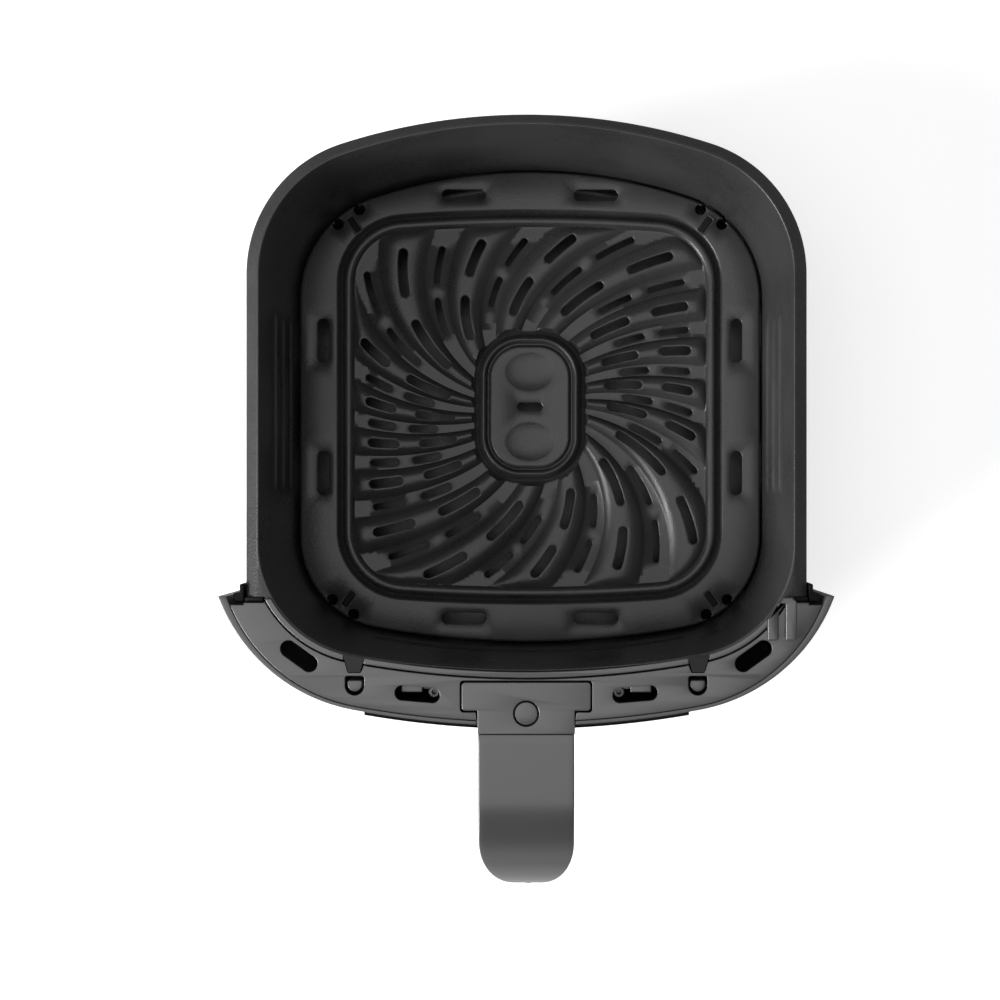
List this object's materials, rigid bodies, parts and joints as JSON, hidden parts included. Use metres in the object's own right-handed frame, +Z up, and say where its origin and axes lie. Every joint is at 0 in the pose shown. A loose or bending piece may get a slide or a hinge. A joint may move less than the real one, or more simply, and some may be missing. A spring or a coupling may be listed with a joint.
{
  "type": "air fryer drawer",
  "caption": "Air-fryer drawer: coated pan with rounded corners and a rolled rim, a slotted crisper plate with swirling flutes that lifts out, and a bowed plastic front with a pull handle.",
  "frame": {"origin": "underside of the pan, on the pan's middle axis", "axes": "+Z up, +Y from the handle to the rear of the pan, +X to the right seen from the handle"},
  "size_m": [0.277, 0.3577, 0.1092],
  "materials": {
    "coated_steel": "pressed steel with a dark grey non-stick coating, slightly grainy, half gloss",
    "grey_plastic": "smooth mid-grey moulded plastic, matte",
    "shell_plastic": "mid-grey moulded plastic with a fine spark-eroded grain",
    "black_plastic": "black moulded plastic, matte",
    "gloss_black": "gloss black plastic panel",
    "silicone": "black silicone rubber",
    "bracket_steel": "dark plated sheet steel",
    "screw_steel": "dull zinc plate"
  },
  "bodies": {
    "drawer": {"pan": "coated_steel", "front_shell": "shell_plastic", "front_deck": "grey_plastic", "front_liner": "black_plastic", "front_fascia": "gloss_black", "rim_retainer_middle": "grey_plastic", "rim_retainer_right": "grey_plastic", "rim_retainer_left": "grey_plastic", "pan_bracket": "bracket_steel", "snap_hook_right": "grey_plastic", "snap_hook_left": "grey_plastic", "deck_clip_right": "grey_plastic", "deck_clip_left": "grey_plastic", "corner_seal_right": "silicone", "corner_seal_left": "silicone", "side_guide_right": "black_plastic", "side_guide_left": "black_plastic", "shell_screw_right": "screw_steel", "shell_screw_left": "screw_steel", "interlock_key": "grey_plastic", "handle_root": "grey_plastic", "handle_upper": "grey_plastic", "handle_lower": "black_plastic", "handle_core": "bracket_steel", "handle_screw": "screw_steel", "handle_screw_cap": "grey_plastic", "grip_screw_1": "screw_steel", "grip_screw_2": "screw_steel"},
    "plate": {"crisper_plate": "coated_steel", "plate_bumper_rear_left": "silicone", "plate_bumper_rear_right": "silicone", "plate_bumper_front_left": "silicone", "plate_bumper_front_right": "silicone"}
  },
  "joints": [
    {"name": "plate_lift", "type": "slide", "parent": "drawer", "child": "plate", "axis": [0, 0, 1], "range_m": [0, 0.12]}
  ]
}
